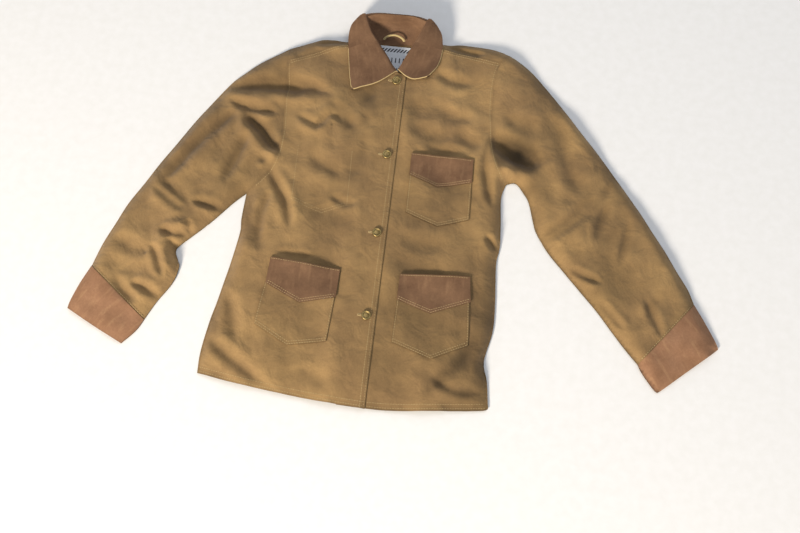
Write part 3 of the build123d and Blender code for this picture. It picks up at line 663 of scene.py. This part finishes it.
for name, s in POCKETS.items():
    mouth = np.array([s["corners"][0], s["corners"][-1]], float)
    loop = straight(s["corners"] + [s["corners"][0]], 4)[:-1]
    ring = np.vstack([loop, loop[:1]])

    def patch_height(p, base=s["base"], mouth=mouth, ring=ring):
        """The patch lies on its front, thicker along its turned edges, with its mouth standing open."""
        away, _, along = reach(p, mouth)
        gape = 4.6 * np.exp(-((away / 20) ** 2)) * np.clip(4 * along * (1 - along), 0, 1)
        return base(p) + 1.75 + gape + 0.45 * np.exp(-((reach(p, ring)[0] / 6) ** 2))

    patch = panel(name, loop, patch_height, step=4.0)
    lay_duck(patch)
    bend_front(patch, s["side"])
    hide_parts(name)
    s["height"] = patch_height

    # The band is a leather facing along the mouth, with a shallow point.
    band_loop = straight([s["corners"][0]] + s["band"] + [s["corners"][-1], s["corners"][0]], 4)[:-1]
    band = panel(name + "_band", band_loop, lambda p, f=patch_height: f(p) + 1.5, thick=1.4, step=4.0)
    finish_with(band, suede_dark)
    bend_front(band, s["side"])
    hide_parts(name + "_band")

INNER = [(-168, 474), (-164, 362), (-107, 345), (-62, 364), (-66, 474)]
loop = straight(INNER + [INNER[0]])[:-1]
inner = panel("inner_chest_pocket", loop, lambda p: over_front(p) - 3.2, thick=1.2, step=7)
lay_duck(inner)
bend_front(inner, "right")
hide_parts("inner_chest_pocket")

# ---- Collar ----
# Napped leather. It rolls highest at the back neck, where the inside of the stand shows, and its two
# wings fall over the fronts. Each part is a doubled skin lofted through a few drawn sections.


def loft(sections, rows=26, across=14):
    """A grid of points and normals through sections of as many points each, from inner to outer edge."""
    lines = [curve(section, 0.5) for section in sections]
    lines = [line[np.round(np.linspace(0, len(line) - 1, across)).astype(int)] for line in lines]
    stack = []
    for k in range(across):
        run = curve([line[k] for line in lines], 0.5)
        stack.append(run[np.round(np.linspace(0, len(run) - 1, rows)).astype(int)])
    grid = np.stack(stack, axis=1)
    for _ in range(2):
        grid[1:-1] = (grid[:-2] + 2 * grid[1:-1] + grid[2:]) / 4
    normal = np.cross(np.gradient(grid, axis=0), np.gradient(grid, axis=1))
    normal /= np.maximum(np.linalg.norm(normal, axis=2), 1e-9)[:, :, None]
    return grid, normal if normal[:, :, 2].mean() > 0 else -normal


def skin(name, grid, normal, thick):
    """A closed skin of a thickness below a grid of points, and the size of its flat cut."""
    rows, across = grid.shape[:2]
    top, low = grid.reshape(-1, 3), (grid - normal * thick).reshape(-1, 3)
    low[:, 2] = np.maximum(low[:, 2], 0.2)
    count, faces = rows * across, []
    for i in range(rows - 1):
        for j in range(across - 1):
            a = i * across + j
            quad = (a, a + 1, a + across + 1, a + across)
            faces += [quad, tuple(v + count for v in quad[::-1])]
    rim = [i * across for i in range(rows)] + [(rows - 1) * across + j for j in range(1, across)]
    rim += [i * across + across - 1 for i in range(rows - 2, -1, -1)] + [j for j in range(across - 2, 0, -1)]
    for a, b in zip(rim, rim[1:] + rim[:1]):
        faces.append((a, b, b + count, a + count))
    turned = np.cross(grid[0, 1] - grid[0, 0], grid[1, 0] - grid[0, 0]) @ normal[0, 0] < 0
    faces = [f[::-1] for f in faces] if turned else faces
    span = np.linalg.norm(np.diff(grid, axis=1), axis=2).sum(1).mean()
    run = np.linalg.norm(np.diff(grid, axis=0), axis=2).sum(0).mean()
    u, v = np.meshgrid(np.linspace(0, span, across), np.linspace(0, run, rows))
    uvs = np.stack([u.ravel(), v.ravel()], axis=1)
    flat_normal = normal.reshape(-1, 3)
    made = mesh_piece(name, np.vstack([top, low]), faces, np.vstack([flat_normal, -flat_normal]),
                      np.vstack([uvs, uvs]))
    cells = np.cross(np.gradient(grid, axis=0), np.gradient(grid, axis=1))
    area = np.linalg.norm(cells, axis=2)[:-1, :-1].sum()
    return made, (span / 1000, run / 1000, area / 1e6)


# Sections from the neck seam up: the stand to its top edge, and the back fall from there down to the floor.
STAND = [[(-58, 703, 9), (-66, 724, 21), (-74, 750, 41)], [(-44, 715, 3), (-47, 743, 17), (-49, 756, 44)],
         [(-14, 715, 3), (-15, 744, 17), (-15, 757, 45)], [(18, 719, 3), (20, 745, 17), (20, 757, 45)],
         [(33, 706, 9), (39, 728, 21), (46, 751, 42)]]
FALL = [[(x, y, z), (x * 1.04, y + 4, z - 2), (x * 1.07, y + 9, z - 17), (x * 1.1, y + 12, 3)]
        for x, y, z in ((-88, 744, 38), (-72, 752, 42.5), (-49, 756.5, 44), (-15, 757.5, 44), (20, 757.5, 44),
                        (45, 753, 42.5), (61, 745, 38))]
for name, sections in (("collar_stand", STAND), ("collar_back_fall", FALL)):
    part, size = skin(name, *loft(sections), 2.0)
    finish_with(part, suede_dark)
    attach(part, "torso")
    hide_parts(name)
# Each section runs from the neck seam over the roll to the free edge; the first three are the turn.
LEAVES = {
    "right": [[(-67, 744, 36), (-73, 753, 42.5), (-78, 756, 42.5), (-86, 754, 38), (-93, 748, 33)],
              [(-62, 728, 28), (-69, 741, 41), (-74, 743, 42.5), (-88, 742, 37), (-102, 734, 28)],
              [(-50, 710, 22), (-58, 719, 37), (-64, 721, 39.5), (-84, 718, 34), (-104, 708, 25)],
              [(-31, 688, 21), (-40, 696, 34), (-47, 696, 36), (-72, 686, 31), (-98, 670, 24.5)],
              [(-13, 663, 21.5), (-19, 668, 30.5), (-26, 667, 32), (-58, 649, 29.5), (-91, 630, 25)],
              [(0, 646, 25), (-4, 645, 28.2), (-12, 637, 29.2), (-38, 617, 28.4), (-83, 598, 27)]],
    "left": [[(40, 746, 36), (46, 755, 42.5), (51, 758, 42.5), (58, 756, 38), (66, 750, 33)],
             [(34, 728, 28), (40, 739, 41), (46, 742, 42.5), (60, 741, 36), (77, 735, 27)],
             [(24, 708, 22), (31, 717, 37), (37, 719, 39.5), (58, 717, 33), (81, 711, 24.5)],
             [(13, 683, 21), (19, 691, 33), (26, 693, 35), (51, 689, 29), (80, 688, 24.5)],
             [(3, 660, 21.5), (8, 665, 29), (15, 665, 30), (40, 661, 26), (74, 662, 29)],
             [(0, 652, 25), (6, 646, 28), (14, 639, 28.5), (33, 633, 27.5), (60, 638, 35)]],
}
leaf_grids = {}
for side, sections in LEAVES.items():
    grid, normal = loft(sections, rows=51, across=24)
    # The thin free edge curls down, and the leather has a few soft dents.
    across_share = np.linspace(0, 1, 24)[None, :]
    grid[:, :, 2] += 0.7 * np.sin(grid[:, :, 0] / 9 + grid[:, :, 1] / 13) * across_share
    turned = 21
    leaf_grids[side] = grid[turned:]
    for part, cut_rows, bodies in ((f"{side}_collar_turn", slice(0, turned + 1), ("torso", f"{side}_front")),
                                   (f"{side}_collar_wing", slice(turned, 51),
                                    (f"{side}_front", f"{side}_wing"))):
        leaf, size = skin(part, grid[cut_rows], normal[cut_rows], 3.2)
        finish_with(leaf, suede_dark)
        first, last = grid[cut_rows][0].mean(0), grid[cut_rows][-1].mean(0)
        bend(leaf, *bodies, first, first + 0.8 * (last - first))
        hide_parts(part)

# ---- Label ----
# A woven label in the back neck: an off-white ground, painted a cool blue-grey as painted shade, inside a
# border of dark slanted stripes.
label_cloth, tree = new_material("woven_label")
uv = add(tree, "UVMap", {"uv_map": "cloth"})
across = add(tree, "SeparateXYZ", Vector=uv)
values = {"x": across, "y": across.node.outputs["Y"]}
# Slanted stripes in a border and a row of upright bars, on a label 76 mm by 55 mm: each value, how it is
# made and from what, in metres.
for name, operation, *terms in (
        ("far_x", "ABSOLUTE", "x"), ("far_y", "ABSOLUTE", "y"),
        ("from_side", "SUBTRACT", 0.038, "far_x"), ("from_end", "SUBTRACT", 0.0275, "far_y"),
        ("from_edge", "MINIMUM", "from_side", "from_end"),
        ("sloped", "MULTIPLY_ADD", "y", 0.8, "x"), ("slant", "PINGPONG", "sloped", 0.0032),
        ("stripe", "GREATER_THAN", "slant", 0.0014),
        ("past_edge", "GREATER_THAN", "from_edge", 0.0025),
        ("before_field", "LESS_THAN", "from_edge", 0.0100),
        ("border", "MULTIPLY", "past_edge", "before_field"),
        ("dark_border", "MULTIPLY", "stripe", "border"),
        ("ring", "PINGPONG", "x", 0.0075), ("off_bar", "SUBTRACT", "ring", 0.0037),
        ("from_bar", "ABSOLUTE", "off_bar"), ("narrow", "LESS_THAN", "from_bar", 0.0011),
        ("short", "LESS_THAN", "far_y", 0.0055), ("bar", "MULTIPLY", "narrow", "short"),
        ("in_field", "GREATER_THAN", "from_edge", 0.0125), ("dark_bar", "MULTIPLY", "bar", "in_field"),
        ("dark", "MAXIMUM", "dark_border", "dark_bar")):
    values[name] = add(tree, "Math", {"operation": operation}, *[values.get(t, t) for t in terms])
thread = add(tree, "TexNoise", Vector=uv, Scale=900.0, Detail=2.0)
# The ground's blue-grey tones are painted shade over the label's off-white.
painted_shade_ground = add(tree, "ValToRGB", {"stops": [(0.3, colour("#b9bfc6")), (0.7, colour("#dfe3e6"))]}, thread)
tone = blended(tree, "MIX", values["dark"], painted_shade_ground, colour("#23252d"))
surfaced(tree, {"Sheen Weight": 0.15}, Base_Color=tone, Roughness=0.62,
         Normal=relieved(tree, (thread, 0.3, 0.0004)))
sections = [[(x, 655, 3.0), (x, 682, 3.2 + 0.4 * math.sin(x / 9)), (x, 702, 3.4), (x, 712, 4.6)] for x in
            (-50, -31, -12, 7, 26)]
label, size = skin("label", *loft(sections, rows=22, across=18), 0.8)
layer = label.data.uv_layers["cloth"]
for corner_uv in layer.data:
    u, v = corner_uv.uv
    corner_uv.uv = (v - 0.038, 0.0275 - u)
finish_with(label, label_cloth)
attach(label, "torso")
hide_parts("label")

# ---- Hanger loop ----
# A cotton tape sewn into the back neck seam at both ends, arched up against the stand.
cotton_tape = canvas_material("cotton_tape", "#d9c592", "#bfa873")
arch = curve([(-38, 723, 9.4), (-35, 726, 13), (-27, 729, 17), (-15, 730.5, 19), (-4, 729, 17),
              (4, 726, 13), (7, 723, 9.4)], 1.5)
middle = np.array([-15.5, 716, 8.5])
sections = []
for p in arch[::2]:
    inward = middle + (p - middle) * 0.80
    sections.append([tuple(p + (0, -1, 1.6)), tuple((p + inward) / 2 + (0, -1.6, 2.6)),
                     tuple(inward + (0, -1, 1.8))])
loop_tape, size = skin("hanger_loop", *loft(sections, rows=40, across=7), 1.2)
finish_with(loop_tape, cotton_tape)
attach(loop_tape, "loop")
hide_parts("hanger_loop")

# ---- Buttons ----
# Four dished heads with a rolled rim, each turning on a tack riveted through the under front. They are of
# antique brass, with a brown tarnish in the dish, rubbed bright on the rim.
brass, tree = new_material("antique_brass")
place = add(tree, "TexCoord", out="Object")
stain = add(tree, "TexNoise", Vector=place, Scale=260.0, Detail=5.0)
scratch = add(tree, "TexNoise", Vector=place, Scale=1900.0, Detail=3.0)
height = add(tree, "SeparateXYZ", out="Z", Vector=place)
rubbed = add(tree, "MapRange", Value=height, From_Min=0.0262, From_Max=0.0278, To_Max=0.6)
tone = add(tree, "ValToRGB", {"stops": [(0.3, colour("#7b6540")), (0.65, colour("#a58d59"))]}, stain)
surfaced(tree, Base_Color=blended(tree, "MIX", rubbed, tone, colour("#c0aa72")), Metallic=1.0,
         Roughness=add(tree, "MapRange", Value=stain, To_Min=0.28, To_Max=0.52),
         Normal=relieved(tree, (scratch, 0.18, 0.0002)))
# The head in section, from its middle over the rim to its back: (radius, height), in mm.
PROFILE = [(0.0, 1.9), (2.6, 1.95), (4.6, 2.2), (5.9, 2.9), (6.7, 3.4), (7.4, 3.6), (8.0, 3.3), (8.4, 2.6),
           (8.5, 1.8), (8.2, 0.9), (7.2, 0.3), (5.0, 0.0), (0.0, 0.0)]
HEAD_BOTTOM, AROUND = 24.1, 48
for k, (x, y) in enumerate(BUTTONS):
    turns = [2 * math.pi * i / AROUND for i in range(AROUND)]
    verts = [(x, y, HEAD_BOTTOM + PROFILE[0][1])]
    for r, z in PROFILE[1:-1]:
        verts += [(x + r * math.cos(t), y + r * math.sin(t), HEAD_BOTTOM + z) for t in turns]
    verts.append((x, y, HEAD_BOTTOM))
    faces, last = [], 1 + (len(PROFILE) - 3) * AROUND
    for i in range(AROUND):
        j = (i + 1) % AROUND
        faces += [(0, 1 + i, 1 + j)]
        faces += [(a + i, a + AROUND + i, a + AROUND + j, a + j) for a in range(1, last, AROUND)]
        faces += [(last + j, last + i, len(verts) - 1)]
    head = mesh_piece(f"button_head_{k + 1}", np.array(verts), faces, None, np.array(verts)[:, :2])
    rounding = head.modifiers.new("rim", "SUBSURF")
    rounding.levels = rounding.render_levels = 1
    finish_with(head, brass)
    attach(head, f"button_{k + 1}")
    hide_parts(f"button_head_{k + 1}")
    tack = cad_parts[f"button_tack_{k + 1}"]
    tack.data.materials.clear()
    tack.data.materials.append(brass)

# ---- Buttonholes and stitching ----
# Pale cotton thread, in short raised stitches along every seam, hem, pocket and placket edge. The
# buttonholes are worked all round in the same thread, across the placket.
thread_cotton, tree = new_material("cotton_thread")
ply = add(tree, "TexNoise", Vector=add(tree, "TexCoord", out="Object"), Scale=800.0, Detail=3.0)
tone = add(tree, "ValToRGB", {"stops": [(0.3, colour("#a88f60")), (0.7, colour("#cdb685"))]}, ply)
surfaced(tree, Base_Color=tone, Roughness=0.8, Normal=relieved(tree, (ply, 0.4, 0.0003)))



def beside(line, gap):
    """A line at a distance on the left of another."""
    along = np.gradient(line, axis=0)
    along /= np.linalg.norm(along, axis=1)[:, None]
    return line + gap * np.stack([-along[:, 1], along[:, 0]], axis=1)


def stitches(name, lines, height, long=3.3, gap=1.2, wide=0.75, tall=0.55):
    """Raised stitches along lines that lie on the cloth."""
    verts, faces = [], []
    for line in lines:
        run = np.concatenate([[0], np.cumsum(np.linalg.norm(np.diff(line, axis=0), axis=1))])
        begin = np.arange(1.0, run[-1] - long, long + gap)
        ends = [np.stack([np.interp(begin + off, run, line[:, k]) for k in (0, 1)], axis=1) for off in
                (0, long * 0.22, long * 0.78, long)]
        levels = [height(p) for p in ends]
        for n in range(len(begin)):
            d = ends[3][n] - ends[0][n]
            d = d / max(np.linalg.norm(d), 1e-6)
            across = np.array([-d[1], d[0]]) * wide / 2
            base = len(verts)
            for k, (rise, share) in enumerate(((-0.1, 0.35), (tall, 1.0), (tall, 1.0), (-0.1, 0.35))):
                p, z = ends[k][n], levels[k][n]
                for sign, up in ((-1, 0.0), (0, rise), (1, 0.0)):
                    q = p + across * sign * share
                    verts.append((q[0], q[1], z + up - 0.05))
            for k in range(3):
                a = base + 3 * k
                faces += [(a, a + 3, a + 4, a + 1), (a + 1, a + 4, a + 5, a + 2)]
    verts = np.array(verts)
    made = mesh_piece(name, verts, faces, None, verts[:, :2])
    finish_with(made, thread_cotton)
    return made


def shrink(line, share=0.02):
    """A line without a share of its points at each end."""
    k = max(1, int(share * len(line)))
    return line[k:len(line) - k]


def armhole_row(line, gap):
    return beside(shrink(curve([tuple(p) for p in line[::4]], 3), 0.03), gap)


right_lines = [beside(placket, 2.5), beside(placket, 9.0),
               beside(curve(HEM_R, 3), 4), beside(curve(HEM_R, 3), 11),
               armhole_row(ARMHOLE_R[cap_split:], 4), beside(shrink(SEAM_R), -3), beside(shrink(SEAM_R), -8)]
stitching = stitches("right_front_stitching", right_lines, over_front)
bend_front(stitching, "right")
# The under front's first 14 points lie under the over front.
left_lines = [beside(curve(HEM_L, 3), 4)[14:], beside(curve(HEM_L, 3), 11)[14:],
              armhole_row(ARMHOLE_L[cap_split_l:], -4), beside(shrink(SEAM_L), 3), beside(shrink(SEAM_L), 8)]
stitching = stitches("left_front_stitching", left_lines, lift)
bend_front(stitching, "left")
for name, s in POCKETS.items():
    mouth = curve([s["corners"][0], s["corners"][-1]], 3)
    edge, foot, band_foot = [straight(points, 3) for points in (s["corners"], s["corners"][1:4], s["band"])]
    for part, lines, height in (
            ("", [beside(edge, 2.2), beside(foot, 6.5)], s["height"]),
            ("_band", [beside(band_foot, 2.0), beside(band_foot, 6.0), beside(mouth, -2.2)],
             lambda p, f=s["height"]: f(p) + 1.5)):
        bend_front(stitches(f"{name}{part}_stitching", lines, height), s["side"])
inner_lines = [straight(INNER, 3), beside(straight(INNER[1:4], 3), 5)]
bend_front(stitches("inner_pocket_stitching", inner_lines, over_front, tall=0.35, wide=0.6), "right")
for side, (_, _, _, sleeve_out, sleeve_in, _, middle, axis) in CUFFS.items():
    seam = curve([sleeve_in[-1], sleeve_out[-1]], 3)
    seam = seam if side == "right" else seam[::-1]
    stitching = stitches(f"{side}_cuff_stitching", [shrink(beside(seam, -2.5), 0.04)],
                         lambda p: lift(p) + 0.9)
    beyond = np.array(middle) + np.array(axis) * 16
    bend(stitching, f"{side}_forearm", f"{side}_cuff", (*middle, 9), (*beyond, 9))


def thread_roll(name, path, along, wide, tall, drop=0.0, ring=False):
    """A rounded roll of thread along a path: half its width and height, and how far it lies below."""
    out = np.cross(along, (0, 0, 1))
    out /= np.linalg.norm(out, axis=1)[:, None]
    turns, count = 2 * math.pi * np.arange(8) / 8, len(path)
    verts = (path[:, None] + out[:, None] * wide * np.cos(turns)[:, None]
             + (tall * np.sin(turns) - drop)[:, None] * (0, 0, 1)).reshape(-1, 3)
    faces = [(i * 8 + j, k % count * 8 + j, k % count * 8 + (j + 1) % 8, i * 8 + (j + 1) % 8)
             for i, k in zip(range(count), range(1, count + ring)) for j in range(8)]
    made = mesh_piece(name, verts, faces, None, verts[:, :2])
    finish_with(made, thread_cotton)
    return made


HOLE_HEIGHT, HOLE_REACH, HOLE_ROUND = 23.7, 7, 1.3
turns = 2 * math.pi * np.arange(40) / 40
for k, (x, y) in enumerate(BUTTONS):
    ends = np.where(np.cos(turns) > 0, HOLE_REACH, -HOLE_REACH)
    oval = np.stack([x - HOLE_REACH + ends + HOLE_ROUND * np.cos(turns), y + HOLE_ROUND * np.sin(turns),
                     np.full(40, HOLE_HEIGHT)], axis=1)
    along = np.roll(oval, -1, axis=0) - np.roll(oval, 1, axis=0)
    hole = thread_roll(f"buttonhole_{k + 1}", oval, along, 0.7, 0.5, ring=True)
    bend_front(hole, "right")
    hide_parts(f"buttonhole_{k + 1}")

# ---- Collar binding ----
# A pale line of worn edge and stitching along each wing's free edges.
for side, grid in leaf_grids.items():
    edge = np.vstack([grid[:-1, -1], grid[-1, ::-1]])
    path = curve([tuple(p) for p in edge[::3]] + [tuple(edge[-1])], 2.5)
    along = np.gradient(path, axis=0)
    binding = thread_roll(f"{side}_wing_binding", path, along, 0.9, 1.7, drop=1.5)
    first, last = grid[0].mean(0), grid[-1].mean(0)
    bend(binding, f"{side}_front", f"{side}_wing", first, first + 0.8 * (last - first))

# ---- Floor, light and camera ----
# A plain pale floor, a broad soft light from the hem's side and a camera above the chest.
floor_mesh = bpy.data.meshes.new("floor")
floor_mesh.from_pydata([(-4, -4, 0), (4, -4, 0), (4, 4, 0), (-4, 4, 0)], [], [(0, 1, 2, 3)])
floor = bpy.data.objects.new("floor", floor_mesh)
bpy.context.scene.collection.objects.link(floor)
paper, tree = new_material("pale_paper")
grain = add(tree, "TexNoise", Vector=add(tree, "TexCoord", out="Object"), Scale=60.0)
tone = add(tree, "ValToRGB", {"stops": [(0.3, colour("#f0f0ee")), (0.7, colour("#f4f4f3"))]}, grain)
surfaced(tree, Base_Color=tone, Roughness=0.9)
floor.data.materials.append(paper)


def area_light(name, place, target, size, power, tint):
    lamp = bpy.data.lights.new(name, "AREA")
    lamp.shape = "DISK"
    lamp.size, lamp.energy, lamp.color = size, power, colour(tint)[:3]
    made = bpy.data.objects.new(name, lamp)
    made.location = place
    made.rotation_mode = "QUATERNION"
    made.rotation_quaternion = (Vector(target) - Vector(place)).to_track_quat("-Z", "Y")
    bpy.context.scene.collection.objects.link(made)


area_light("key", (-2.0, -4.1, 2.2), (0, 0, 0), 1.05, 340, "#fff3e2")
area_light("fill", (0.8, 1.4, 4.2), (0, 0, 0), 3.0, 42, "#e8f0ff")
world = bpy.data.worlds.new("studio")
bpy.context.scene.world = world
world.use_nodes = True
world.node_tree.nodes["Background"].inputs["Color"].default_value = colour("#f2f4f8")
world.node_tree.nodes["Background"].inputs["Strength"].default_value = 0.42
bpy.context.scene.view_settings.view_transform = "Standard"

tilt, roll = math.radians(17), math.radians(6.5)
right = Vector((math.cos(roll), math.sin(roll), 0))
ahead = Vector((-math.sin(roll), math.cos(roll), 0))
back_way = -ahead * math.sin(tilt) + Vector((0, 0, math.cos(tilt)))
up = back_way.cross(right)
camera = bpy.data.objects.new("camera", bpy.data.cameras.new("camera"))
camera.data.lens, camera.data.sensor_width = 38, 36
camera.matrix_world = Matrix.Translation(Vector(row((49, 257, 20))[0]) + back_way * 1.52) @ Matrix(
    (right, up, back_way)).transposed().to_4x4()
bpy.context.scene.collection.objects.link(camera)
bpy.context.scene.camera = camera
